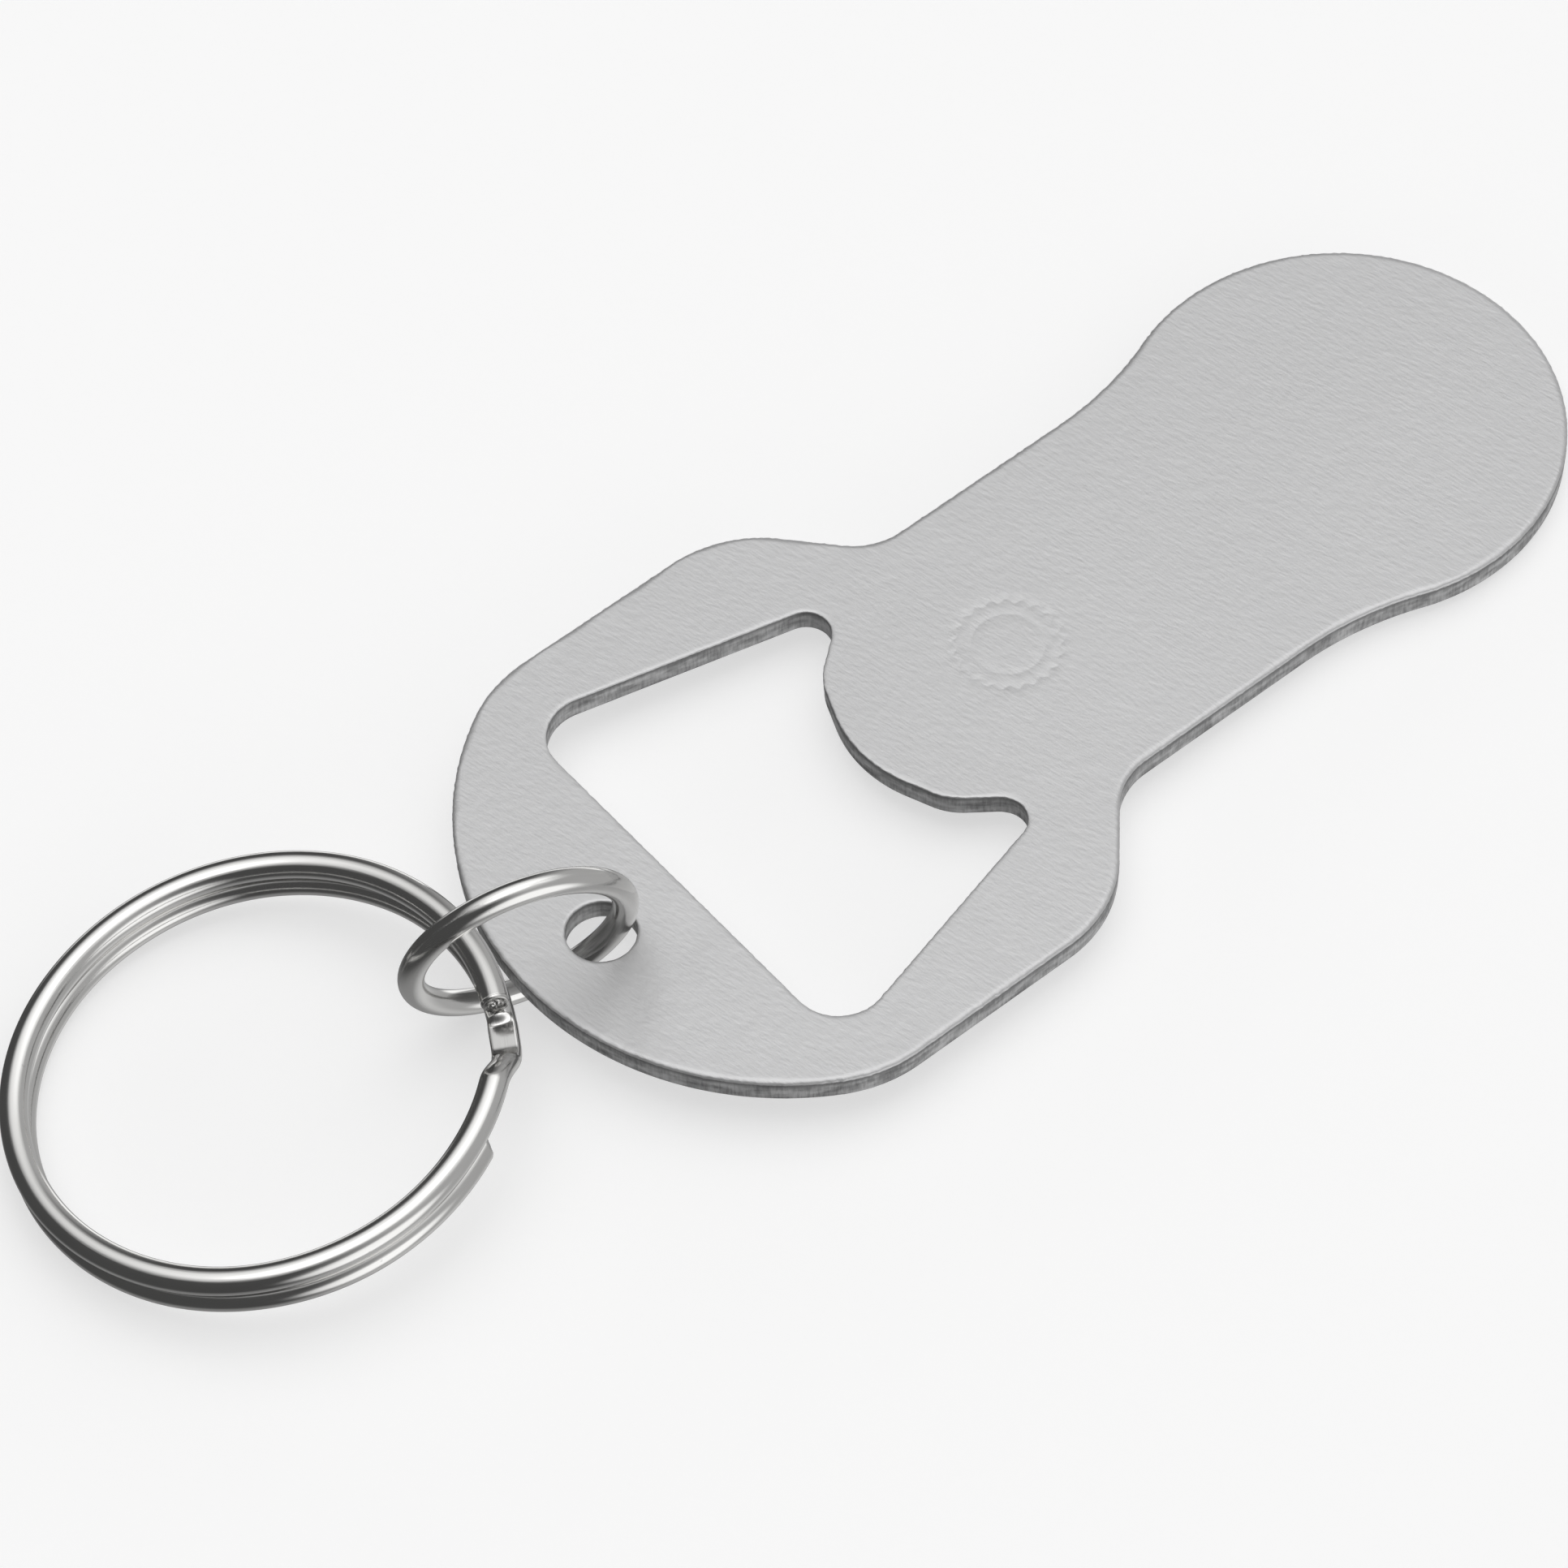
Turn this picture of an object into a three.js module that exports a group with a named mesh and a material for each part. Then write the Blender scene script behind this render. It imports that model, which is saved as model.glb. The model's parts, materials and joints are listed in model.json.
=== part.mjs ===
// Keychain bottle opener: a blanked aluminium opener plate whose disc end is the size of a trolley
// coin, a closed jump ring through the hole in its ring end, and a two-turn split key ring.
// Millimetres, +Z up. The plate's own frame has +X along its length towards the disc end, its origin
// at the centre of the round ring end, and z = 0 at the middle of its thickness. The group lies as
// the opener does on a table, which props the plate's ring end on the bottom of the jump ring.
import * as THREE from "three";

// ---- Plate ----
const plateThickness = 1.4;
const endRadius = 16.9; // round ring end, about the frame's origin
const headHalfWidth = 15.6; // straight sides of the head
const headSideFillet = 7.7; // ring end into the straight side
const shoulderStart = 8.15; // x where the straight side would meet the shoulder
const shoulderLength = 5.3; // along X, from the straight side down to the neck
const shoulderFillet = 7.0;
const neckHalfWidth = 9.55;
const neckFillet = 3.8; // shoulder into the neck
const discRadius = 11.625; // a 23.25 mm trolley coin
const discCentre = 36.9; // from the centre of the ring end
const discFillet = 19.6; // neck into the disc

// ---- Bottle-cap opening ----
const openingBase = -7.3; // x of the edge that bears on the top of the cap
const openingBaseHalf = 12.8;
const openingBaseFillet = 2.5;
const pocketEnd = 9.65; // x of the two pockets beside the lip
const pocketHalf = 8.45;
const pocketEndFillet = 1.35;
const pocketFloor = 6.6; // half width where a pocket turns back to the lip
const pocketFloorSet = 1.5; // how far back from the pocket's end that is
const pocketFloorFillet = 0.7;
const lipShoulder = 6.05; // x of the lip's two shoulders
const lipShoulderHalf = 4.95;
const lipShoulderFillet = 3.5;
const lipTip = 4.05; // x where the lip's flanks would meet, before its nose is rounded
const lipNoseRadius = 7.3;

// ---- Hole for the jump ring ----
const holeRadius = 1.8;
const holeInset = 4.8; // hole centre from the ring end's edge

// ---- Jump ring: closed, round wire ----
const jumpRadius = 5.63; // to the middle of the wire
const jumpWire = 1.33;
const jumpHeading = 17.1; // degrees, turned to the +Y side of the plate's length
const jumpLean = 10.6; // degrees from upright, to the -Y side
const jumpRise = 34; // degrees, its centre seen above the hole
const holeClearance = 0.3; // wire to the hole's far wall

// ---- Split ring: two turns of one wire ----
const keyRadius = 12.17; // to the middle of the wire
const keyWireWidth = 1.46;
const keyWireHeight = 1.36;
const keyTurnGap = 0.06; // between the two turns
const keyHeading = 9.4; // degrees, its centre seen from the plate's ring end, to the +Y side
const keyTilt = 8.66; // degrees, the far side hangs lower
const keyTiltHeading = 139.6; // degrees about +Z, the way it hangs
const keyUpperEnd = -28; // degrees about the ring's axis, end of the upper turn
const keyStepStart = -30; // where the wire starts to climb from the lower turn
const keyStepEnd = -47; // where it has reached the upper turn
const keyLowerEnd = -61.5; // end of the lower turn
const plateClearance = 0.3; // split ring to the plate's ring end

// ---- Finishes ----
const satinAluminium = { color: 0xc4c5c7, roughness: 0.45, metalness: 1 };
const brightSteel = { color: 0xb9b8b6, roughness: 0.15, metalness: 1 };

const fullTurn = 2 * Math.PI;
const arcSegments = 10;
const ringSegments = 48;
const wireSides = 12;
const samePoint = 0.001;

const radians = (degrees) => THREE.MathUtils.degToRad(degrees);

// The points of an arc about (x, y), without its last point.
function arcPoints(x, y, radius, from, to) {
  const points = [];
  for (let i = 0; i < arcSegments; i += 1) {
    const angle = from + ((to - from) * i) / arcSegments;
    points.push(new THREE.Vector2(x + radius * Math.cos(angle), y + radius * Math.sin(angle)));
  }
  return points;
}

// The two halves of an outline that is symmetric about the X axis, from its +Y half.
function mirrored(half) {
  const lower = half.map((point) => new THREE.Vector2(point.x, -point.y)).reverse();
  return [...half, ...lower];
}

// A chain of straight edges whose inner corners are rounded. A corner is [x, y, radius].
function roundedChain(corners) {
  const points = [];
  corners.forEach(([x, y, radius], index) => {
    const corner = new THREE.Vector2(x, y);
    if (radius === 0) {
      points.push(corner);
      return;
    }
    const before = new THREE.Vector2(...corners[index - 1]).sub(corner).normalize();
    const after = new THREE.Vector2(...corners[index + 1]).sub(corner).normalize();
    const halfAngle = Math.acos(before.dot(after)) / 2;
    const middle = before.clone().add(after).normalize();
    const centre = corner.clone().addScaledVector(middle, radius / Math.sin(halfAngle));
    const reach = radius / Math.tan(halfAngle);
    const start = corner.clone().addScaledVector(before, reach).sub(centre);
    const end = corner.clone().addScaledVector(after, reach).sub(centre);
    const turn = Math.atan2(start.cross(end), start.dot(end));
    points.push(...arcPoints(centre.x, centre.y, radius, start.angle(), start.angle() + turn));
    points.push(end.add(centre));
  });
  return points;
}

// Plate outline, +Y half, from the ring end round to the tip of the disc: ring end, straight side,
// shoulder, neck and disc, each joined by an arc that is tangent to both.
function plateHalf() {
  const sideY = headHalfWidth - headSideFillet;
  const sideX = -Math.sqrt((endRadius - headSideFillet) ** 2 - sideY ** 2);
  const sideAngle = Math.atan2(sideY, sideX);
  const shoulderEnd = shoulderStart + shoulderLength;
  const discFilletY = neckHalfWidth + discFillet;
  const discFilletX = discCentre - Math.sqrt((discRadius + discFillet) ** 2 - discFilletY ** 2);
  const discAngle = Math.atan2(discFilletY, discFilletX - discCentre);
  return [
    ...arcPoints(0, 0, endRadius, Math.PI, sideAngle),
    ...arcPoints(sideX, sideY, headSideFillet, sideAngle, Math.PI / 2),
    ...roundedChain([
      [sideX, headHalfWidth, 0],
      [shoulderStart, headHalfWidth, shoulderFillet],
      [shoulderEnd, neckHalfWidth, neckFillet],
      [discFilletX, neckHalfWidth, 0],
    ]).slice(0, -1),
    ...arcPoints(discFilletX, discFilletY, discFillet, -Math.PI / 2, discAngle - Math.PI),
    ...arcPoints(discCentre, 0, discRadius, discAngle, 0),
  ];
}

// Cap opening, +Y half, from the middle of its base to the nose of the lip.
function openingHalf() {
  const chain = roundedChain([
    [openingBase, 0, 0],
    [openingBase, openingBaseHalf, openingBaseFillet],
    [pocketEnd, pocketHalf, pocketEndFillet],
    [pocketEnd - pocketFloorSet, pocketFloor, pocketFloorFillet],
    [lipShoulder, lipShoulderHalf, lipShoulderFillet],
    [lipTip, 0, lipNoseRadius],
    [lipShoulder, -lipShoulderHalf, 0],
  ]);
  return chain.filter((point) => point.y > samePoint);
}

function plateGeometry() {
  const outline = new THREE.Shape(withoutAxisTwins(mirrored(plateHalf())).reverse());
  const opening = new THREE.Path(mirrored(openingHalf()));
  const hole = new THREE.Path();
  hole.absarc(-endRadius + holeInset, 0, holeRadius, 0, fullTurn, true);
  outline.holes.push(opening, hole);
  const geometry = new THREE.ExtrudeGeometry(outline, {
    depth: plateThickness,
    bevelEnabled: false,
    curveSegments: arcSegments,
  });
  return geometry.translate(0, 0, -plateThickness / 2);
}

// Drops a point that repeats the one before it, as a mirrored point on the axis does.
function withoutAxisTwins(points) {
  return points.filter((point, index) => {
    const last = points[(index + points.length - 1) % points.length];
    return point.distanceTo(last) > samePoint;
  });
}

// ---- Where the jump ring stands ----
// Its plane holds `away`, level and pointing off the plate's ring end, and `up`.
const jumpAway = new THREE.Vector3(-Math.cos(radians(jumpHeading)), Math.sin(radians(jumpHeading)), 0);
const jumpAxis = new THREE.Vector3(
  Math.sin(radians(jumpHeading)) * Math.cos(radians(jumpLean)),
  Math.cos(radians(jumpHeading)) * Math.cos(radians(jumpLean)),
  Math.sin(radians(jumpLean)),
);
const jumpUp = new THREE.Vector3().crossVectors(jumpAxis, jumpAway);
const keyAxis = new THREE.Vector3(
  Math.sin(radians(keyTilt)) * Math.cos(radians(keyTiltHeading)),
  Math.sin(radians(keyTilt)) * Math.sin(radians(keyTiltHeading)),
  Math.cos(radians(keyTilt)),
);

// The wire slopes through the hole, so its outside comes nearest to the hole's wall at the upper face.
function jumpCentre() {
  const height = jumpRadius * Math.sin(radians(jumpRise));
  const aboveFace = height - plateThickness / 2 / jumpUp.z;
  const wireReach = Math.sqrt((jumpRadius + jumpWire / 2) ** 2 - aboveFace ** 2);
  const holeReach = Math.sqrt(holeRadius ** 2 - (jumpWire / 2) ** 2);
  return new THREE.Vector3(-endRadius + holeInset, 0, 0)
    .addScaledVector(jumpAway, wireReach - holeReach + holeClearance)
    .addScaledVector(jumpUp, height);
}

// ---- How the opener lies on the table ----
// The plate rests on the edge of its disc end and, at its ring end, on the bottom of the jump ring.
function restPitch(jump) {
  const jumpBottom = jump.z - jumpRadius * jumpUp.z - jumpWire / 2;
  return Math.atan2(-plateThickness / 2 - jumpBottom, discCentre + discRadius - jump.x);
}

// The split ring lies just beyond the plate's ring end, its lower side on the table.
function keyCentre(pitch) {
  const reach = endRadius + plateClearance + keyWireWidth / 2 + keyRadius;
  const heading = radians(180 - keyHeading);
  const up = new THREE.Vector3(-Math.sin(pitch), 0, Math.cos(pitch));
  const levelness = keyAxis.dot(up);
  const slope = Math.sqrt(1 - levelness ** 2);
  const wireDrop = Math.hypot((keyWireHeight / 2) * levelness, (keyWireWidth / 2) * slope);
  const drop = keyRadius * slope + ((keyWireHeight + keyTurnGap) / 2) * levelness + wireDrop;
  const tableHeight = (-plateThickness / 2) * up.z + (discCentre + discRadius) * up.x;
  const centre = new THREE.Vector3(reach * Math.cos(heading), reach * Math.sin(heading), 0);
  centre.z = (tableHeight + drop - centre.x * up.x) / up.z;
  return centre;
}

// Middle line of the split ring's wire: almost a turn low, a step up, and almost a turn high.
class KeyRingPath extends THREE.Curve {
  getPoint(t, target = new THREE.Vector3()) {
    const from = radians(keyLowerEnd + 360);
    const to = radians(keyUpperEnd - 360);
    const angle = THREE.MathUtils.lerp(from, to, t);
    const climb = THREE.MathUtils.smoothstep(-angle, radians(-keyStepStart), radians(-keyStepEnd));
    const height = (climb - 0.5) * (keyWireHeight + keyTurnGap);
    return target.set(keyRadius * Math.cos(angle), keyRadius * Math.sin(angle), height);
  }
}

function keyGeometry() {
  const section = new THREE.Shape();
  section.absellipse(0, 0, keyWireHeight / 2, keyWireWidth / 2, 0, fullTurn, false);
  return new THREE.ExtrudeGeometry(section, {
    extrudePath: new KeyRingPath(),
    steps: 2 * ringSegments,
    curveSegments: wireSides / 2,
    bevelEnabled: false,
  });
}

// Puts a ring made flat about its own origin where it belongs: its Z axis along `axis`, and its X
// axis level, along the plate.
function placeRing(mesh, centre, axis) {
  const x = new THREE.Vector3().crossVectors(new THREE.Vector3(0, 1, 0), axis).normalize();
  const y = new THREE.Vector3().crossVectors(axis, x);
  mesh.quaternion.setFromRotationMatrix(new THREE.Matrix4().makeBasis(x, y, axis));
  mesh.position.copy(centre);
  return mesh;
}

function namedMesh(name, geometry, finish) {
  const mesh = new THREE.Mesh(geometry, new THREE.MeshStandardMaterial(finish));
  mesh.name = name;
  return mesh;
}

const plate = namedMesh("opener_plate", plateGeometry(), satinAluminium);
const jump = jumpCentre();
const pitch = restPitch(jump);
const jumpGeometry = new THREE.TorusGeometry(jumpRadius, jumpWire / 2, wireSides, ringSegments);
const jumpRing = placeRing(namedMesh("jump_ring", jumpGeometry, brightSteel), jump, jumpAxis);
const keyRing = namedMesh("split_ring", keyGeometry(), brightSteel);
const splitRing = placeRing(keyRing, keyCentre(pitch), keyAxis);

const opener = new THREE.Group();
opener.add(plate, jumpRing, splitRing);
opener.rotation.y = pitch;

// The origin is the middle of the bottom of the whole object's box.
const keychain = new THREE.Group();
keychain.add(opener);
const box = new THREE.Box3().setFromObject(keychain, true);
const centre = box.getCenter(new THREE.Vector3());
opener.position.set(-centre.x, -centre.y, -box.min.z);

export default keychain;
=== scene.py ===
"""A keychain bottle opener, lying on a pale table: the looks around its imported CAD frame. Metres."""

import json
import math

import bpy
import numpy as np
from mathutils.geometry import delaunay_2d_cdt
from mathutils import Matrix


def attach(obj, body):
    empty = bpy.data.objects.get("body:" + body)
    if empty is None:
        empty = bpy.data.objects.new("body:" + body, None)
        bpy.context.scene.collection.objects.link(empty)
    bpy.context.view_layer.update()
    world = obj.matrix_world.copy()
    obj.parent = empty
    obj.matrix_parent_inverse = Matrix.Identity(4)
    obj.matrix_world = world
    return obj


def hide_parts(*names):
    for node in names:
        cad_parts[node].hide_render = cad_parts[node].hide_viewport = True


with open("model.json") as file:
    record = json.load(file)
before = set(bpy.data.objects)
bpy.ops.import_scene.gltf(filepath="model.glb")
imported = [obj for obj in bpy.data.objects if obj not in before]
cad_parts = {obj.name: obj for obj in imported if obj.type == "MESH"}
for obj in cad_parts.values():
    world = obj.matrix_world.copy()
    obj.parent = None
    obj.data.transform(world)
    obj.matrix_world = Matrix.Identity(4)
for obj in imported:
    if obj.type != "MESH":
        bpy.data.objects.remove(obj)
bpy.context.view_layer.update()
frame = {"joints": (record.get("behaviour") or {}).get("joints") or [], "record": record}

# ---- Table, light and camera ----
# The opener lies on a pale, matt light table in a dark room, under a bright panel that slopes down
# behind it. A white card and grey walls on the right give bright metal its black, grey and white
# bands. The table itself is not mirrored in the metal.
TABLE_REACH = 1.5
TABLE_SWEEP = 0.8  # radius of the curve by which the far rim of the table rises
TABLE_SWEEP_ROWS = 17
TABLE_SIDES = 96
TABLE_DROP = 0.00003  # below the opener, so that the two surfaces never share a plane
TABLE_COLOR = (0.55, 0.55, 0.55)
TABLE_GLOW = 0.52  # of the light table, from below
CAMERA_AT = (-0.121315, -0.172613, 0.304740)
CAMERA_TURN = (34.651, 3.406, -39.491)  # degrees
CAMERA_LENS = 168.7
CAMERA_SENSOR = 36.0
DARK_GLOW = 0.075
SLOPE_GLOW = 1.2  # of the sloping panel behind
ZENITH_GLOW = 0.6
CARD_GLOW = 0.85
WALL_GLOW = 0.40
BEHIND_GLOW = 0.9  # of the far end of the table, low behind the opener
BELOW_GLOW = 0.22
BEHIND = 54.9  # headings, in degrees
CARD = -95.1
WALL = -35.0
SLOPE_LEAN = 0.2  # how much further down the panel reaches behind than in front
SLOPE_EDGE = (0.62, 1.02)  # where each glow starts and is full, as sines or cosines
ZENITH_EDGE = (0.90, 0.95)
CARD_EDGE = (0.80, 0.95)
WALL_EDGE = (-0.1, 0.5)
BEHIND_EDGE = (0.78, 0.88)
BEHIND_DROP = (0.08, 0.2)
BELOW_EDGE = (0.5, 0.95)
CAMERA_SIDE = (-80.0, 60.0, 0.55)  # heading and height of what shades the panel, and how much
CAMERA_SIDE_EDGE = (0.86, 0.97)


class Socket:
    """A shader socket that arithmetic works on: an expression on sockets adds its Math nodes."""

    def __init__(self, tree, output):
        self.tree = tree
        self.output = output

    def node(self, kind, settings=None, out=0, **inputs):
        """Adds a node of that type: its settings first, then its inputs, by name or as i0, i1 ..."""
        made = self.tree.nodes.new(kind)
        for name, value in (settings or {}).items():
            setattr(made, name, value)
        for name, value in inputs.items():
            key = int(name[1:]) if name[0] == "i" and name[1:].isdigit() else name.replace("_", " ")
            if isinstance(value, Socket):
                self.tree.links.new(value.output, made.inputs[key])
            else:
                made.inputs[key].default_value = value
        return Socket(self.tree, made.outputs[out])

    def math(self, operation, *values):
        """Adds a Math node of that operation, on the values in their order."""
        inputs = {f"i{index}": value for index, value in enumerate(values)}
        return self.node("ShaderNodeMath", {"operation": operation}, **inputs)

    def __add__(self, other):
        return self.math("ADD", self, other)

    __radd__ = __add__

    def __sub__(self, other):
        return self.math("SUBTRACT", self, other)

    def __rsub__(self, other):
        return self.math("SUBTRACT", other, self)

    def __mul__(self, other):
        return self.math("MULTIPLY", self, other)

    __rmul__ = __mul__

    def ramp(self, low, high):
        """0 below low, 1 above high, and a smooth step between them."""
        settings = {"interpolation_type": "SMOOTHSTEP"}
        return self.node("ShaderNodeMapRange", settings, i0=self, i1=low, i2=high)

    def noise(self, size, detail=2.0, heading=0.0):
        """Noise from 0 to 1 whose grains have that (x, y, z) size, turned by heading about Z."""
        settings = {"vector_type": "TEXTURE"}
        turn = (0, 0, math.radians(heading))
        placed = self.node("ShaderNodeMapping", settings, Vector=self, Rotation=turn, Scale=size)
        return self.node("ShaderNodeTexNoise", Vector=placed, Scale=1.0, Detail=detail)

    def shade(self, low, high):
        """The grey low where this is 0, high where it is 1. Each may be a colour socket."""
        low, high = [c if isinstance(c, Socket) else (*c, 1) for c in (low, high)]
        settings = {"data_type": "RGBA"}
        return self.node("ShaderNodeMix", settings, out=2, i0=self, i6=low, i7=high)

    def bump(self, depth):
        """The normals of a surface that is raised by this times depth, in metres."""
        return self.node("ShaderNodeBump", Height=self, Distance=depth)

    def feed(self, shader, name):
        """Links this to the input of that name."""
        self.tree.links.new(self.output, shader.inputs[name])


def shade_nodes(material):
    """The start of the material's tree, and its shader, made a metal."""
    material.use_nodes = True
    tree = material.node_tree
    shader = tree.nodes["Principled BSDF"]
    shader.inputs["Metallic"].default_value = 1.0
    return Socket(tree, None), shader


# A disc about the Z axis whose far rim sweeps up a quarter circle: reach sin(turn), height 1 - cos.
turn = np.linspace(0, math.pi / 2, TABLE_SWEEP_ROWS)
sweep = np.stack([TABLE_REACH + TABLE_SWEEP * np.sin(turn), TABLE_SWEEP * (1 - np.cos(turn))])
heading = np.arange(TABLE_SIDES) * 2 * math.pi / TABLE_SIDES
table_points = np.stack([
    np.outer(np.cos(heading), sweep[0]), np.outer(np.sin(heading), sweep[0]),
    np.tile(sweep[1], (TABLE_SIDES, 1)) - TABLE_DROP,
], axis=-1).reshape(-1, 3)
corner = np.arange(TABLE_SIDES * TABLE_SWEEP_ROWS).reshape(TABLE_SIDES, TABLE_SWEEP_ROWS)
beside = np.roll(corner, -1, axis=0)
rim_faces = np.stack([beside[:, :-1], corner[:, :-1], corner[:, 1:], beside[:, 1:]], axis=-1)
table_mesh = bpy.data.meshes.new("table")
table_mesh.from_pydata(
    table_points.tolist(), [], [corner[:, 0].tolist()] + rim_faces.reshape(-1, 4).tolist(),
)
table_mesh.polygons.foreach_set("use_smooth", np.arange(len(table_mesh.polygons)) > 0)
table = bpy.data.objects.new("table", table_mesh)
bpy.context.scene.collection.objects.link(table)
table_paint = bpy.data.materials.new("pale_table")
start, shader = shade_nodes(table_paint)
shader.inputs["Metallic"].default_value = 0.0
shader.inputs["Roughness"].default_value = 0.9
shader.inputs["Specular IOR Level"].default_value = 0.1
shader.inputs["Emission Color"].default_value = (1, 1, 1, 1)
shader.inputs["Emission Strength"].default_value = TABLE_GLOW
speckle = start.node("ShaderNodeTexCoord", out="Object").noise((0.004, 0.004, 0.004))
speckle.shade(TABLE_COLOR, [0.99 * c for c in TABLE_COLOR]).feed(shader, "Base Color")
table_mesh.materials.append(table_paint)
table.visible_glossy = False

room = bpy.data.worlds.new("room")
bpy.context.scene.world = room
room.use_nodes = True
sky = Socket(room.node_tree, None)
view_line = sky.node("ShaderNodeTexCoord", out="Generated")
east, north, height = [
    view_line.node("ShaderNodeSeparateXYZ", out=axis, i0=view_line) for axis in range(3)
]


def toward(heading, rise=0.0):
    """The cosine of the angle between a line of sight and that heading and height."""
    level = math.cos(math.radians(rise))
    x, y = math.cos(math.radians(heading)) * level, math.sin(math.radians(heading)) * level
    return east * x + north * y + height * math.sin(math.radians(rise))


shade_heading, shade_rise, shading = CAMERA_SIDE
shaded = 1 - toward(shade_heading, shade_rise).ramp(*CAMERA_SIDE_EDGE) * shading
slope = (height + toward(BEHIND) * SLOPE_LEAN).ramp(*SLOPE_EDGE) * SLOPE_GLOW
zenith = height.ramp(*ZENITH_EDGE) * ZENITH_GLOW
card = toward(CARD).ramp(*CARD_EDGE) * CARD_GLOW
walls = toward(WALL).ramp(*WALL_EDGE) * WALL_GLOW
behind = toward(BEHIND).ramp(*BEHIND_EDGE) * (-1 * height).ramp(*BEHIND_DROP) * BEHIND_GLOW
below = (-1 * height).ramp(*BELOW_EDGE) * BELOW_GLOW
lamps = room.node_tree.nodes["Background"]
lamps.inputs["Color"].default_value = (1, 1, 1, 1)
(slope * shaded + zenith + card + walls + behind + below + DARK_GLOW).feed(lamps, "Strength")

camera_data = bpy.data.cameras.new("camera")
camera_data.lens = CAMERA_LENS
camera_data.sensor_width = CAMERA_SENSOR
camera_data.clip_start = 0.01
camera = bpy.data.objects.new("camera", camera_data)
camera.location = CAMERA_AT
camera.rotation_euler = [math.radians(angle) for angle in CAMERA_TURN]
bpy.context.scene.collection.objects.link(camera)
bpy.context.scene.camera = camera
bpy.context.scene.view_settings.view_transform = "Standard"

# ---- Opener plate ----
# One piece of aluminium sheet, blanked in a press and tumbled: a coin-sized disc, a neck, and a head
# with the cap opening and a hole for the jump ring. The die leaves a soft rolled rim above a torn,
# upright cut. All in millimetres about the centre of the round ring end, as the CAD plate is.
MM = 0.001  # metres
THICKNESS = 1.4
END_RADIUS = 16.9
HEAD_HALF = 15.6
HEAD_FILLET = 7.7
SHOULDER_X = 8.15
SHOULDER_FILLET = 7.0
NECK_X = 13.45
NECK_HALF = 9.55
NECK_FILLET = 3.8
DISC_RADIUS = 11.625
DISC_X = 36.9
DISC_FILLET = 19.6
OPENING_HALF = [  # x, y and corner radius, from the base of the opening to the nose of its lip
    (-7.3, 12.8, 2.5),
    (9.65, 8.45, 1.35),
    (8.15, 6.6, 0.7),
    (6.05, 4.95, 3.5),
    (4.05, 0.0, 7.3),
]
HOLE_X = -12.1
HOLE_RADIUS = 1.8
RIM_WIDTH = 0.7  # of the band along each edge that is carried along its outline
RIM_STEP = 0.15
OUTER_RIM = (0.34, 0.16, 0.022, 11)  # how wide and how deep the roll is, how ragged, and a seed
OPENING_RIM = (0.26, 0.06, 0.018, 31)
HOLE_RIM = (0.2, 0.08, 0.012, 51)
ROLL_SHARES = np.array([1.0, 0.86, 0.7, 0.55, 0.4, 0.28, 0.18, 0.1, 0.04, 0.0])  # of its width
CUT_ROWS = 12
TORN_BACK = 0.03  # how far the torn, lower part of the cut stands back
LOWER_EDGE = 0.05  # above the lower face, where the cut ends and turns in
FACE_STEP = 0.55  # of the grid of points inside each face
FACE_CLEAR = 0.4 * FACE_STEP  # between that grid and every outline
JOIN_WITHIN = 1e-7  # points nearer than this are one
SKIN_METALLIC = 0.72  # a dull skin lies on the bare metal
SKIN_SHADES = ((0.60, 0.60, 0.603), (0.625, 0.625, 0.628))
# The cut's greys are darker than the face's: partly the torn metal's own duller tone, partly painted
# shade on the upright walls.
CUT_GREYS_WITH_PAINTED_SHADE = ((0.20, 0.20, 0.202), (0.66, 0.66, 0.663))
GRAIN_HEADING = -80  # degrees
TOOTH_DEPTH = 0.000012


def arc(x, y, radius, start_angle, end_angle):
    """Points at a fine, even step on a circle about (x, y), from one angle to the other."""
    count = max(3, int(abs(end_angle - start_angle) * radius / 0.1))
    angles = np.linspace(start_angle, end_angle, count)
    return np.stack([x + radius * np.cos(angles), y + radius * np.sin(angles)], axis=1)


def rounded(corners):
    """A closed chain of straight edges with each corner (x, y, radius) rounded by a tangent arc."""
    points = []
    for index, (x, y, radius) in enumerate(corners):
        corner = np.array([x, y])
        before = np.array(corners[index - 1][:2]) - corner
        after = np.array(corners[(index + 1) % len(corners)][:2]) - corner
        before /= np.linalg.norm(before)
        after /= np.linalg.norm(after)
        half = math.acos(before @ after) / 2
        middle = (before + after) / np.linalg.norm(before + after)
        centre = corner + middle * radius / math.sin(half)
        first = corner + before * radius / math.tan(half) - centre
        last = corner + after * radius / math.tan(half) - centre
        turn = math.atan2(first[0] * last[1] - first[1] * last[0], first @ last)
        angle = math.atan2(first[1], first[0])
        points.append(arc(*centre, radius, angle, angle + turn))
    return np.concatenate(points)


def evenly(points, step):
    """A closed outline's points again, at an even step, with the unit normals to their left."""
    closed = np.vstack([points, points[:1]])
    lengths = np.concatenate([[0], np.cumsum(np.linalg.norm(np.diff(closed, axis=0), axis=1))])
    keep = np.concatenate([[True], np.diff(lengths) > 1e-9])
    run = np.arange(round(lengths[-1] / step)) * lengths[-1] / round(lengths[-1] / step)
    even = np.stack([np.interp(run, lengths[keep], closed[keep, axis]) for axis in (0, 1)], axis=1)
    along = np.roll(even, -1, axis=0) - np.roll(even, 1, axis=0)
    along /= np.linalg.norm(along, axis=1)[:, None]
    return even, np.stack([-along[:, 1], along[:, 0]], axis=1), run


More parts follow.
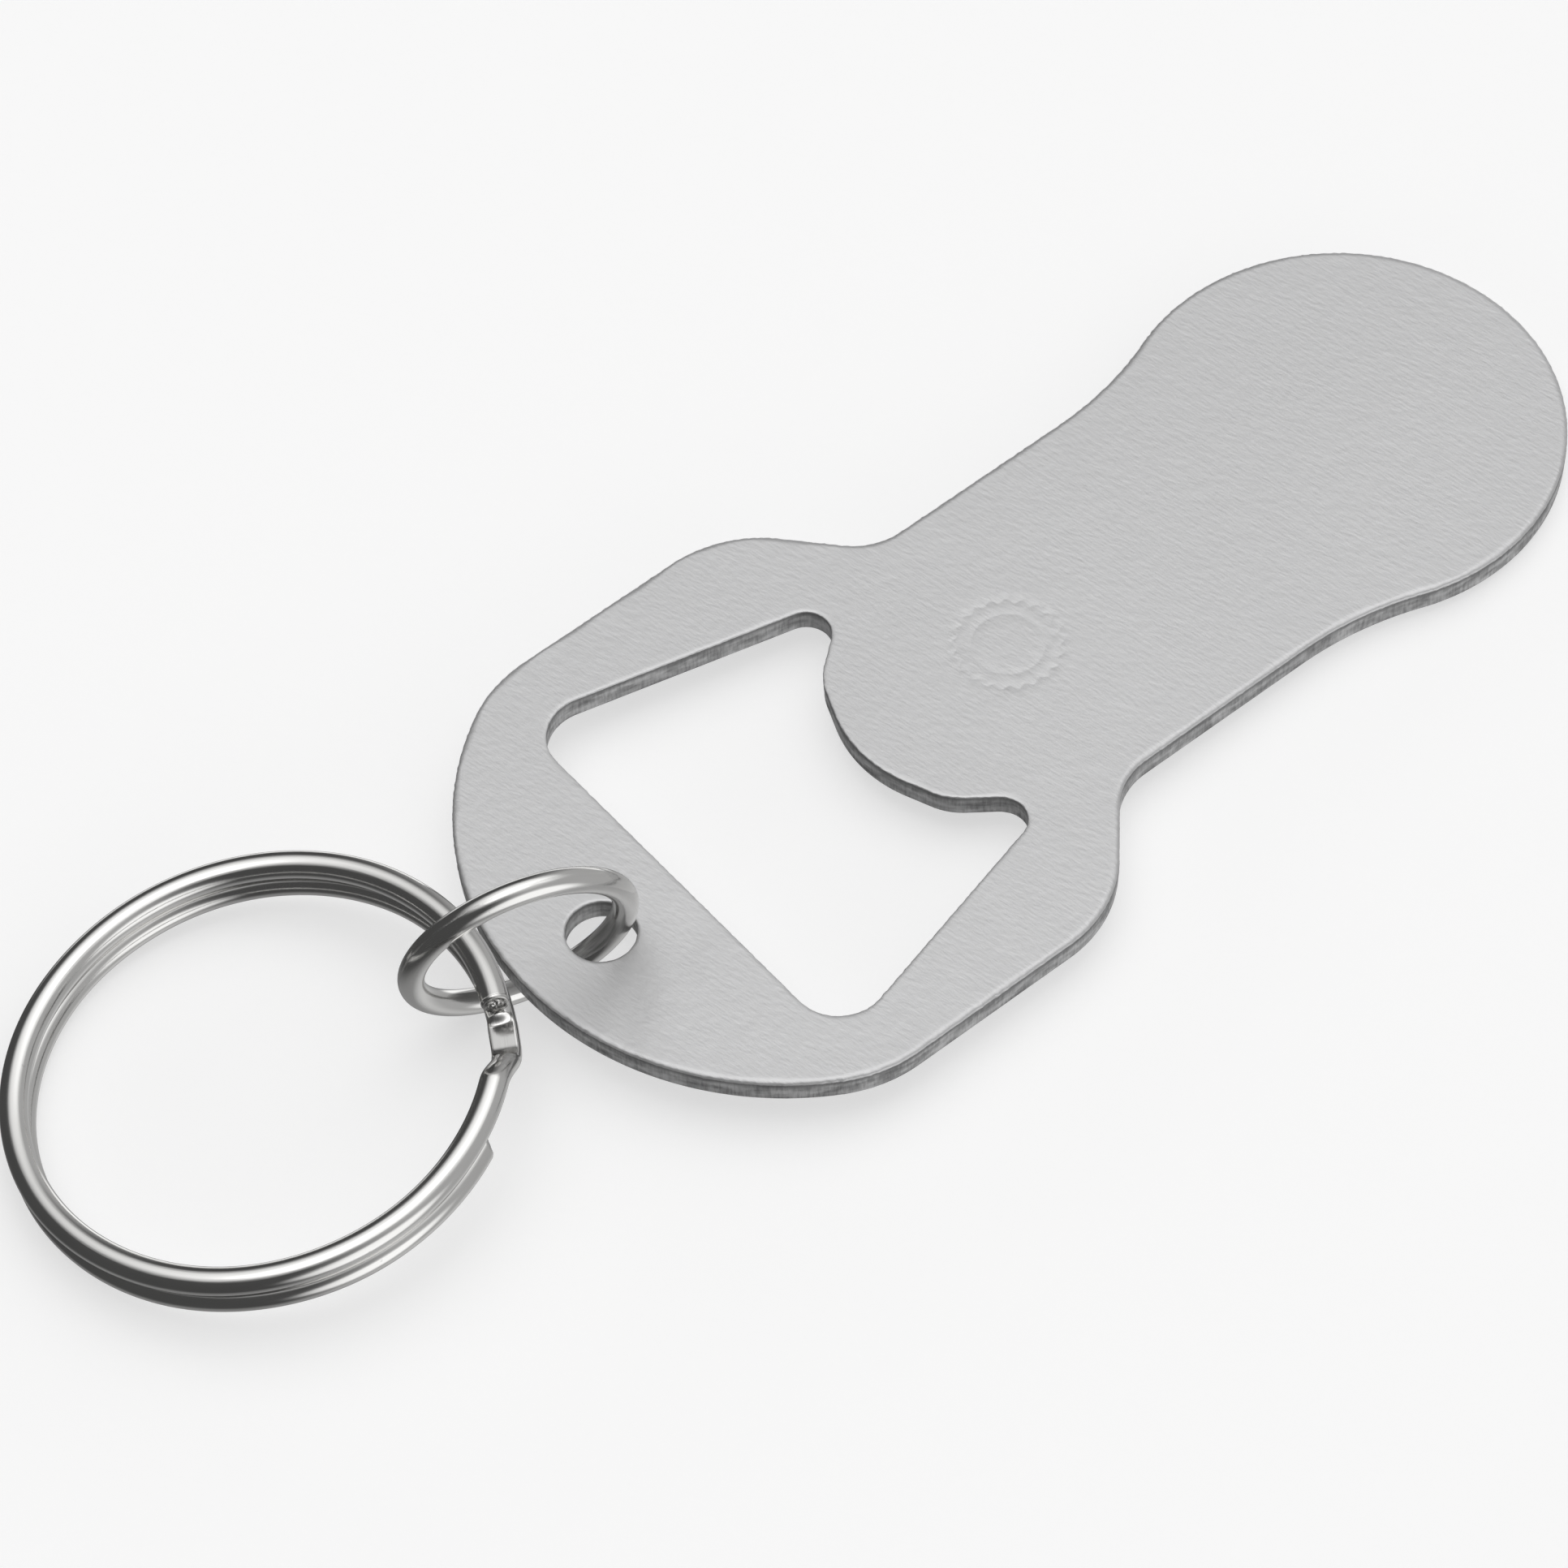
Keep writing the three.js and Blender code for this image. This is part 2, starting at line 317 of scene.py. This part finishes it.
def plate_outline():
    """The plate's outer edge: ring end, straight sides, shoulders, neck and disc, anticlockwise."""
    side_y = HEAD_HALF - HEAD_FILLET
    side_x = -math.sqrt((END_RADIUS - HEAD_FILLET) ** 2 - side_y**2)
    side_angle = math.atan2(side_y, side_x)
    disc_y = NECK_HALF + DISC_FILLET
    disc_x = DISC_X - math.sqrt((DISC_RADIUS + DISC_FILLET) ** 2 - disc_y**2)
    disc_angle = math.atan2(disc_y, disc_x - DISC_X)
    chain = [(side_x, HEAD_HALF, 0.001), (SHOULDER_X, HEAD_HALF, SHOULDER_FILLET),
             (NECK_X, NECK_HALF, NECK_FILLET), (disc_x, NECK_HALF, 0.001)]
    half = np.concatenate([
        arc(0, 0, END_RADIUS, math.pi, side_angle),
        arc(side_x, side_y, HEAD_FILLET, side_angle, math.pi / 2),
        rounded(chain)[3:-3],
        arc(disc_x, disc_y, DISC_FILLET, -math.pi / 2, disc_angle - math.pi),
        arc(DISC_X, 0, DISC_RADIUS, disc_angle, 0),
    ])
    return np.concatenate([half[:-1], half[::-1] * (1, -1)])[:-1][::-1]


def waves(seed, run, length, slowest, fastest, count):
    """Smooth noise of about unit size along a closed outline: a sum of sines that fit it whole."""
    draw = np.random.default_rng(seed)
    turns = draw.integers(int(length / slowest) + 1, int(length / fastest) + 2, count)
    phases = draw.uniform(0, 2 * math.pi, count)
    sines = np.sin(2 * math.pi * np.outer(run / length, turns) + phases)
    return sines.sum(axis=1) / math.sqrt(count / 2)


# The soft dents that the jump ring has knocked beside its hole: (x, y, half length, half width,
# heading in degrees, depth).
DENTS = [(-13.2, -4.0, 3.4, 1.0, 42, 0.06), (-9.0, -3.4, 1.6, 0.9, 60, 0.035)]


def face_dip(x, y):
    """How far the upper face lies below flat: long, very shallow waves, and the dents.

    The waves are a sine along x times one along y, plus a sine along the diagonal. A dent is a bell:
    its depth times e to the minus (along squared plus across squared), each in its own half sizes.
    """
    dip = 0.006 * (np.sin(x / 3.9 + 0.7) * np.sin(y / 3.1 + 1.9) + np.sin((x + y) / 6.3))
    for dent_x, dent_y, long, wide, heading, depth in DENTS:
        cos, sin = math.cos(math.radians(heading)), math.sin(math.radians(heading))
        along = ((x - dent_x) * cos + (y - dent_y) * sin) / long
        across = ((y - dent_y) * cos - (x - dent_x) * sin) / wide
        dip = dip + depth * np.exp(-(along**2) - across**2)
    return dip


def rim(outline, roll_width, roll_depth, rag, seed):
    """A band carried along an outline that has the metal on its left.

    Its profile starts on the upper face, RIM_WIDTH in from the edge, goes down the quarter ellipse of
    the roll, over a ragged lip, down the cut, whose lower part is torn back a little, round the lower
    edge and in along the lower face. Returns the grid of points (outline x profile), the run along the
    outline, and each point's cut: 0 on the faces and the roll, and from 1 to 2 down the cut.
    """
    edge, inward, run = outline
    length = RIM_STEP * len(run)
    top = THICKNESS / 2
    jag = rag * waves(seed, run, length, 2.5, 0.35, 40)
    slow = rag * waves(seed + 1, run, length, 9.0, 2.0, 12)
    width = roll_width * (1 + 0.12 * waves(seed + 2, run, length, 12.0, 4.0, 8))
    columns, cut = [], []
    for inset in np.linspace(RIM_WIDTH, 0, 4)[:-1]:
        columns.append((width + (RIM_WIDTH - width) * inset / RIM_WIDTH, 0 * run + top))
        cut.append(0.0)
    for share in ROLL_SHARES:
        drop = roll_depth * (1 - np.sqrt(1 - (1 - share) ** 2))
        columns.append((width * share + 0.5 * jag * (1 - share), top - drop))
        cut.append(0.0)
    lip = top - roll_depth - 0.03 - np.abs(jag) - 0.5 * np.abs(slow)
    floor = -top + LOWER_EDGE
    for index, share in enumerate(np.linspace(0, 1, CUT_ROWS)):
        grain = 0.5 * rag * waves(seed + 10 + index, run, length, 1.5, 0.35, 40)
        torn = TORN_BACK * min(1.0, max(0.0, (share - 0.35) / 0.2))
        bow = grain * math.sin(math.pi * share)
        columns.append((torn + bow + 0 * run, lip + (floor - lip) * share))
        cut.append(1.0 + share)
    for inset, rise, mark in ((0.06, 0.02, 0.6), (0.12, 0.0, 0.2), (RIM_WIDTH, 0.0, 0.0)):
        ragged = inset + 0.3 * jag + 0 * run if mark else inset + 0 * run
        columns.append((ragged, 0 * run - top + rise))
        cut.append(mark)
    inset = np.stack([column[0] for column in columns], axis=1)
    height = np.stack([np.broadcast_to(column[1], run.shape) for column in columns], axis=1)
    grid = edge[:, None, :] + inset[..., None] * inward[:, None, :]
    shallow = np.clip((height + top) / THICKNESS, 0, 1)
    height = height - face_dip(grid[..., 0], grid[..., 1]) * (shallow > 0.9)
    points = np.concatenate([grid, height[..., None]], axis=2)
    return points, run, np.broadcast_to(np.array(cut), height.shape)


outer = evenly(plate_outline(), RIM_STEP)
half_opening = OPENING_HALF[:-1]
opening_corners = half_opening + [OPENING_HALF[-1]] + [(x, -y, r) for x, y, r in half_opening[::-1]]
opening = evenly(rounded(opening_corners), RIM_STEP)
hole = evenly(arc(HOLE_X, 0, HOLE_RADIUS, 2 * math.pi, 0)[:-1], RIM_STEP)


# The generic mark pressed into the neck: the outline of a crown cap, and a circle inside it.
MARK_AT = (14.6, 0.4)
MARK_RADII = ((2.75, 0.045, 21), (1.9, 0.0, 1))  # radius, share that its flutes rise, flutes
MARK_LINE = 0.06  # half the line's width
MARK_DEPTH = 0.007
MARK_POINTS = 378


def mark_loops():
    """Each ring of the mark as three loops: a line's outer side, its sunken middle, its inner side.

    A ring's radius swings by a share of itself, as the cosine of its flutes times the angle.
    """
    angle = np.arange(MARK_POINTS) * 2 * math.pi / MARK_POINTS
    loops = []
    for radius, rise, flutes in MARK_RADII:
        for aside, dip in ((MARK_LINE, 0.0), (0.0, MARK_DEPTH), (-MARK_LINE, 0.0)):
            r = radius * (1 + rise * np.cos(flutes * angle)) + aside
            x = MARK_AT[0] + r * np.cos(angle)
            y = MARK_AT[1] + r * np.sin(angle)
            loops.append(np.stack([x, y, THICKNESS / 2 - face_dip(x, y) - dip], axis=1))
    return loops


def inside(points, loop):
    """Which points a closed loop goes round: those whose line towards +X crosses it an odd number
    of times."""
    x, y = points[:, :1], points[:, 1:2]
    x0, y0 = loop[:, 0], loop[:, 1]
    x1, y1 = np.roll(x0, -1), np.roll(y0, -1)
    spans = (y0 > y) != (y1 > y)
    rise = np.where(y1 == y0, 1.0, y1 - y0)
    crossing = x0 + (y - y0) * (x1 - x0) / rise
    return (spans & (crossing > x)).sum(axis=1) % 2 == 1


def face_fill(loops, height, pressed=()):
    """Triangles that fill a face between its outer loop and the loops of its openings.

    Points on a square grid stand clear of every loop, and a triangulation that keeps the loops'
    edges joins them all. Returns the points that were added and the triangles, which number the
    loops' points first.
    """
    rings = [*loops, *pressed]
    edge_points = np.concatenate(rings)[:, :2]
    low, high = loops[0][:, :2].min(axis=0), loops[0][:, :2].max(axis=0)
    ticks = [np.arange(low[axis], high[axis], FACE_STEP) for axis in (0, 1)]
    square = np.stack(np.meshgrid(*ticks), axis=-1).reshape(-1, 2)
    gaps = np.linalg.norm(square[:, None, :] - edge_points[None, ::2, :], axis=2).min(axis=1)
    square = square[gaps > FACE_CLEAR]
    within = inside(square, loops[0]) & ~inside(square, loops[1]) & ~inside(square, loops[2])
    square = square[within]
    flat = np.concatenate([edge_points, square])
    edges, first = [], 0
    for ring in rings:
        number = first + np.arange(len(ring))
        edges.append(np.stack([number, np.roll(number, -1)], axis=1))
        first += len(ring)
    pairs = np.concatenate(edges).tolist()
    _, _, faces, sources, _, _ = delaunay_2d_cdt(flat.tolist(), pairs, [], 0, JOIN_WITHIN)
    source = np.array([origin[0] for origin in sources])
    triangles = source[np.array(faces)]
    middles = flat[triangles].mean(axis=1)
    metal = inside(middles, loops[0]) & ~inside(middles, loops[1]) & ~inside(middles, loops[2])
    added = np.column_stack([square, height(square[:, 0], square[:, 1])])
    return np.concatenate([*pressed, added]), triangles[metal]


def band_faces(rows, columns, first):
    """The quads of a closed band, whose points are numbered row by row from first."""
    here = first + np.arange(rows * columns).reshape(rows, columns)
    beyond = np.roll(here, -1, axis=0)
    quads = np.stack([here[:, 1:], beyond[:, 1:], beyond[:, :-1], here[:, :-1]], axis=-1)
    return quads.reshape(-1, 4)


def add_piece(name, points, faces, values, material, body, node):
    """A smooth mesh piece in metres that stands for a CAD node and rides on its body."""
    mesh = bpy.data.meshes.new(name)
    mesh.from_pydata(points.tolist(), [], [face for group in faces for face in group.tolist()])
    mesh.polygons.foreach_set("use_smooth", np.ones(len(mesh.polygons), bool))
    for label, numbers in values.items():
        layer = mesh.attributes.new(label, "FLOAT", "POINT")
        layer.data.foreach_set("value", np.ascontiguousarray(numbers, np.float32).ravel())
    mesh.materials.append(material)
    mesh.validate()
    piece = bpy.data.objects.new(name, mesh)
    bpy.context.scene.collection.objects.link(piece)
    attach(piece, body)
    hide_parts(node)


# The plate's place: a mount's point and normal give the disc's centre on its upper face.
mounts = {mount["name"]: mount for mount in frame["record"]["mounts"]}
plate_up = np.array(mounts["coin_face"]["axis"])
plate_up /= np.linalg.norm(plate_up)
plate_along = np.cross([0, 1, 0], plate_up)
plate_turn = np.stack([plate_along, np.array([0, 1, 0]), plate_up])
disc_top = np.array([DISC_X, 0, THICKNESS / 2]) * MM
plate_at = np.array(mounts["coin_face"]["pos_m"]) - disc_top @ plate_turn

rims = [rim(outer, *OUTER_RIM), rim(opening, *OPENING_RIM), rim(hole, *HOLE_RIM)]
points, cuts, runs, faces, upper, lower = [], [], [], [], [], []
first = 0
for band, run, cut in rims:
    rows, columns = cut.shape
    points.append(band.reshape(-1, 3))
    cuts.append(cut.ravel())
    runs.append(np.repeat(run, columns))
    faces.append(band_faces(rows, columns, first))
    upper.append((first + np.arange(rows) * columns, band[:, 0]))
    lower.append((first + np.arange(rows) * columns + columns - 1, band[:, -1]))
    first += rows * columns


def upper_height(x, y):
    """Half the thickness, less the upper face's dip."""
    return THICKNESS / 2 - face_dip(x, y)


def lower_height(x, y):
    """Half the thickness down, and flat."""
    return 0 * x - THICKNESS / 2


for loops, height, pressed, turned in (
    (upper, upper_height, mark_loops(), False),
    (lower, lower_height, [], True),
):
    added, triangles = face_fill([loop for _, loop in loops], height, pressed)
    numbers = np.concatenate([*[ids for ids, _ in loops], first + np.arange(len(added))])
    triangles = numbers[triangles]
    faces.append(triangles[:, ::-1] if turned else triangles)
    points.append(added)
    cuts.append(np.zeros(len(added)))
    runs.append(np.zeros(len(added)))
    first += len(added)
plate_points = np.concatenate(points) * MM @ plate_turn + plate_at

aluminium = bpy.data.materials.new("satin_aluminium")
start, shader = shade_nodes(aluminium)
shader.inputs["Metallic"].default_value = SKIN_METALLIC
place = start.node("ShaderNodeTexCoord", out="Object")
cut = start.node("ShaderNodeAttribute", {"attribute_name": "cut"}, out="Fac")
run = start.node("ShaderNodeAttribute", {"attribute_name": "run"}, out="Fac")
rise = place.node("ShaderNodeSeparateXYZ", out=2, i0=place)
on_cut = run.node("ShaderNodeCombineXYZ", i0=run * MM, i1=rise, i2=0.0)
cloud = place.noise((0.011, 0.011, 0.011), 3.0)
ripple = place.noise((0.0006, 0.00022, 0.0006), 3.0, GRAIN_HEADING)
mottle = place.noise((0.0017, 0.0011, 0.0019), 2.0, GRAIN_HEADING)
scored = on_cut.noise((0.00016, 0.0011, 1.0), 4.0)
blotch = on_cut.noise((0.0016, 0.0005, 1.0), 4.0)
# Painted shade: the top of the cut, just under the rolled lip, is drawn darker than the rest of the
# wall.
painted_lip_shade = 1 - cut.ramp(1.04, 1.28)
torn = cut.ramp(0.35, 0.75)
face_shade = cloud.shade(*SKIN_SHADES)
# The cut's colour: its scored, blotchy grain, darkened as painted shade on the upright walls and
# further as painted shade under the lip.
cut_tone_with_painted_shade = (scored * 0.35 + blotch * 0.65).ramp(0.28, 0.72) * (1 - painted_lip_shade * 0.75)
cut_colour_with_painted_shade = cut_tone_with_painted_shade.shade(*CUT_GREYS_WITH_PAINTED_SHADE)
torn.shade(face_shade, cut_colour_with_painted_shade).feed(shader, "Base Color")
(0.41 + mottle * 0.06 + torn * (0.1 + scored * 0.1)).feed(shader, "Roughness")
tooth = (ripple * 2.0 + mottle * 1.1) * (1.0 - torn)
score = (scored * 2.0 + blotch * 2.5) * torn
(tooth + score).bump(TOOTH_DEPTH).feed(shader, "Normal")

add_piece(
    "opener_plate_sheet", plate_points, faces,
    {"cut": np.concatenate(cuts), "run": np.concatenate(runs)},
    aluminium, "opener", "opener_plate",
)

# ---- Jump ring ----
# A short length of round spring wire bent into a ring and closed by its maker, nickel plated and
# bright. It stands through the hole in the plate and holds the split ring. Its two ends meet in a
# fine butt joint, which is turned down out of the way.
JUMP_RADIUS = 5.63
JUMP_WIRE = 1.33
JUMP_JOINT = 8  # degrees about the ring's axis
JUMP_JOINT_WIDTH = 0.7  # degrees
JUMP_JOINT_DEPTH = 0.07
JUMP_ROWS = 720
WIRE_SIDES = 40
NICKEL_SHADES = ((0.66, 0.655, 0.64), (0.78, 0.775, 0.765))
TARNISH_SHADE = (0.33, 0.325, 0.315)
NICKEL_DEPTH = 0.0000055  # of its drawing lines, haze and pits


def ring_frame(joint_name):
    """A ring's centre and its X, Y and Z axes as rows, from the joint that turns it."""
    joint = next(joint for joint in frame["joints"] if joint["name"] == joint_name)
    axis = np.array(joint["axis"])
    axis /= np.linalg.norm(axis)
    across = np.cross([0, 1, 0], axis)
    across /= np.linalg.norm(across)
    return np.array(joint["pos_m"]), np.stack([across, np.cross(axis, across), axis])


def wire(angles, radius, height, half_wide, half_high, shape=None):
    """Points of a wire bent about the Z axis, as a grid of (places along it x sides).

    At each angle the section is an ellipse: cos(side) times half_wide outwards, and sin(side) times
    half_high upwards. shape(out, up, angle), if given, changes a section's own coordinates first.
    """
    side = np.arange(WIRE_SIDES) * 2 * math.pi / WIRE_SIDES
    angle = angles[:, None]
    out = np.outer(half_wide, np.cos(side))
    up = np.outer(half_high, np.sin(side))
    if shape:
        out, up, angle = shape(out, up, angle)
    reach = radius[:, None] + out
    return np.stack([reach * np.cos(angle), reach * np.sin(angle), height[:, None] + up], axis=-1)


def tube_faces(rows, closed):
    """The quads round a wire, outwards for one that goes anticlockwise about its ring's axis."""
    number = np.arange(rows * WIRE_SIDES).reshape(rows, WIRE_SIDES)
    here = number if closed else number[:-1]
    beyond = np.roll(number, -1, axis=0) if closed else number[1:]
    quads = np.stack([here, beyond, np.roll(beyond, -1, axis=1), np.roll(here, -1, axis=1)], axis=-1)
    return quads.reshape(-1, 4)


bright = bpy.data.materials.new("bright_nickel")
start, shader = shade_nodes(bright)
along = start.node("ShaderNodeAttribute", {"attribute_name": "along"}, out="Fac")
side = start.node("ShaderNodeAttribute", {"attribute_name": "side"}, out="Fac")
worn = start.node("ShaderNodeAttribute", {"attribute_name": "worn"}, out="Fac")
place = start.node("ShaderNodeTexCoord", out="Object")
on_wire = along.node(
    "ShaderNodeCombineXYZ", i0=along, i1=side.math("COSINE", side), i2=side.math("SINE", side),
)
drawn = on_wire.noise((4.5, 0.10, 0.10), 3.0)
haze = on_wire.noise((3.2, 0.8, 0.8), 3.0)
pits = place.noise((0.00035, 0.00035, 0.00035), 4.0)
speck = pits.ramp(0.66, 0.76) * haze.ramp(0.5, 0.7)
clean_shade = haze.shade(*NICKEL_SHADES)
spots = worn * 0.75 + speck * 0.5
spots.math("MINIMUM", spots, 1.0).shade(clean_shade, TARNISH_SHADE).feed(shader, "Base Color")
(0.11 + haze * 0.08 + speck * 0.2 + worn * 0.22).feed(shader, "Roughness")
(drawn * 0.5 + haze * 1.0 + pits * worn * 4.0 + speck * -1.0).bump(NICKEL_DEPTH).feed(shader, "Normal")

jump_at, jump_turn = ring_frame("key_ring_swing")
jump_angles = np.linspace(0, 2 * math.pi, JUMP_ROWS, endpoint=False)
from_joint = (np.degrees(jump_angles) - JUMP_JOINT + 180) % 360 - 180
groove = np.exp(-((from_joint / JUMP_JOINT_WIDTH) ** 2))
jump_half = JUMP_WIRE / 2 - JUMP_JOINT_DEPTH * groove
jump_points = wire(
    jump_angles, np.full(JUMP_ROWS, JUMP_RADIUS), np.zeros(JUMP_ROWS), jump_half, jump_half,
).reshape(-1, 3)
sides = np.tile(np.arange(WIRE_SIDES) * 2 * math.pi / WIRE_SIDES, JUMP_ROWS)
add_piece(
    "jump_ring_wire", jump_points * MM @ jump_turn + jump_at, [tube_faces(JUMP_ROWS, True)],
    {"along": np.repeat(jump_angles * JUMP_RADIUS, WIRE_SIDES), "side": sides,
     "worn": np.repeat(groove, WIRE_SIDES)},
    bright, "jump_link", "jump_ring",
)

# ---- Split ring ----
# Two turns of slightly flattened hard steel wire, coiled tight on an arbor and nickel plated. Near
# the ends a tool has pressed the lower turn flat and set a step, so that it climbs to become the
# upper turn. The upper end is sheared blunt against the step, and the lower end is cut on a slant.
KEY_RADIUS = 12.17
KEY_HALF_WIDE = 0.73
KEY_HALF_HIGH = 0.68
KEY_TURN = 1.42  # from one turn's middle to the other's
KEY_UPPER_END = -28.0  # degrees about the ring's axis
KEY_LOWER_END = -61.5
KEY_STEP = (-36.5, -50.0)  # where the climb starts and ends
KEY_PRESS = (-35.0, 4.5, 0.36)  # the pressed flat: its middle, half length, and height left
KEY_PUSH = (-40.0, 5.0, 0.12)  # how the step bulges outwards: its middle, half length, and height
KEY_SLANT = 0.95  # how far the lower end's cut falls back for each millimetre outwards
KEY_SLANT_LEAD = 0.2
KEY_SLANT_REACH = 10.0  # degrees of the wire that the slant is spread over
KEY_FINE = (-20, -60, 160)  # the stretch with the press and the step, and how many rows it gets
END_ROWS = 10
END_WORN = 0.4
EDGE_WORN = (0.5, 0.35)  # how worn the rim of an end is, and how far from it, in degrees
KEY_SCUFFS = ((0.35, -41.0, 0.6), (0.25, -47.5, 1.6))  # how worn, where, and half how long


def smooth(value, low, high):
    """0 below low, 1 above high, and a smooth step between them."""
    share = np.clip((value - low) / (high - low), 0, 1)
    return share * share * (3 - 2 * share)


def key_section(out, up, angle):
    """Presses the flat on the lower turn, and cuts the lower end on a slant.

    The flat lowers whatever stands above left + 0.06 out, and spreads what is above the middle by a
    twentieth. The slant moves a point back along the wire by KEY_SLANT times how far out it lies,
    less KEY_SLANT_LEAD.
    """
    degrees = np.degrees(angle)
    middle, half, left = KEY_PRESS
    pressed = (smooth(degrees, middle - half - 0.5, middle - half + 0.2)
               * (1 - smooth(degrees, middle + half, middle + half + 3.0)))
    flat = np.minimum(up, left + 0.06 * out)
    up = up + (flat - up) * pressed
    out = out * (1 + 0.05 * pressed * (up > 0))
    slant = smooth(degrees, KEY_LOWER_END + 360 - KEY_SLANT_REACH, KEY_LOWER_END + 360)
    angle = angle - slant * (KEY_SLANT * out - KEY_SLANT_LEAD) / KEY_RADIUS
    return out, up, angle


key_start = math.radians(KEY_LOWER_END + 360)
key_stop = math.radians(KEY_UPPER_END - 360)
fine = np.radians(np.linspace(*KEY_FINE))
key_angles = np.concatenate([
    np.linspace(key_start, key_start - 0.12, 24)[:-1],
    np.linspace(key_start - 0.12, fine[0], 460)[:-1],
    fine[:-1],
    np.linspace(fine[-1], key_stop + 0.05, 500)[:-1],
    np.linspace(key_stop + 0.05, key_stop, 14),
])
key_degrees = np.degrees(key_angles)
climb = smooth(-key_degrees, -KEY_STEP[0], -KEY_STEP[1])
# The coil bulges at the step as a bell, and two slow sines keep it from being quite round.
push_middle, push_half, push = KEY_PUSH
key_radius = KEY_RADIUS + push * np.exp(-(((key_degrees - push_middle) / push_half) ** 2))
key_radius += 0.012 * np.sin(3.1 * key_angles + 0.4) + 0.008 * np.sin(7.3 * key_angles)
key_height = (climb - 0.5) * KEY_TURN
to_end = np.minimum(key_degrees[0] - key_degrees, key_degrees - key_degrees[-1])
blunt = 1 - 0.10 * (1 - smooth(to_end, 0.0, 0.9)) ** 2
key_tube = wire(
    key_angles, key_radius, key_height, KEY_HALF_WIDE * blunt, KEY_HALF_HIGH * blunt, key_section,
)


def wire_end(last, outwards, seed):
    """Closes a wire: rings that shrink evenly from its last section to its middle.

    A ring stands out along the wire by a shallow cone, plus a few sines round it that die away
    towards the rim and make the face rough.
    """
    middle = last.mean(axis=0)
    draw = np.random.default_rng(seed)
    rings = []
    for share in np.linspace(1, 0, END_ROWS)[1:-1]:
        side = np.arange(WIRE_SIDES) * 2 * math.pi / WIRE_SIDES
        rough = sum(draw.uniform(-1, 1) * np.sin(k * side + draw.uniform(0, 6)) for k in (1, 2, 3, 5))
        depth = 0.05 * (1 - share) + 0.028 * rough * min(1.0, 3 * (1 - share))
        rings.append(middle + (last - middle) * share + np.outer(depth, outwards))
    return rings, middle + 0.06 * outwards


def heading_at(angle, sign):
    """The wire's direction at an end, as a unit vector."""
    return sign * np.array([-math.sin(angle), math.cos(angle), 0.0])


start_rings, start_tip = wire_end(key_tube[0], heading_at(key_start, 1), 5)
stop_rings, stop_tip = wire_end(key_tube[-1], heading_at(key_stop, -1), 6)
key_rows = np.concatenate([np.array(start_rings[::-1]), key_tube, np.array(stop_rings)])
row_count = len(key_rows)
key_points = np.concatenate([key_rows.reshape(-1, 3), [start_tip, stop_tip]])
number = np.arange(WIRE_SIDES)
beyond = np.roll(number, -1)
start_fan = np.stack([beyond, number, np.full(WIRE_SIDES, row_count * WIRE_SIDES)], axis=1)
last_row = (row_count - 1) * WIRE_SIDES
stop_fan = np.stack(
    [last_row + number, last_row + beyond, np.full(WIRE_SIDES, row_count * WIRE_SIDES + 1)], axis=1,
)
tube = tube_faces(row_count, False)[:, ::-1]
cap_rows = len(start_rings)
row_angles = np.concatenate([
    np.full(cap_rows, key_start), key_angles, np.full(cap_rows, key_stop),
])
scuffed = EDGE_WORN[0] * np.exp(-((to_end / EDGE_WORN[1]) ** 2))
for much, scuff_at, scuff_half in KEY_SCUFFS:
    scuffed = scuffed + much * np.exp(-(((key_degrees - scuff_at) / scuff_half) ** 2))
row_worn = np.concatenate([
    np.full(cap_rows, END_WORN), scuffed, np.full(cap_rows, END_WORN),
])
split_at, split_turn = ring_frame("split_ring_turn")
add_piece(
    "split_ring_wire", key_points * MM @ split_turn + split_at, [tube, start_fan, stop_fan],
    {"along": np.concatenate([np.repeat(row_angles * KEY_RADIUS, WIRE_SIDES), [0, 0]]),
     "side": np.concatenate([np.tile(number * 2 * math.pi / WIRE_SIDES, row_count), [0, 0]]),
     "worn": np.concatenate([np.repeat(row_worn, WIRE_SIDES), [END_WORN, END_WORN]])},
    bright, "key_ring", "split_ring",
)
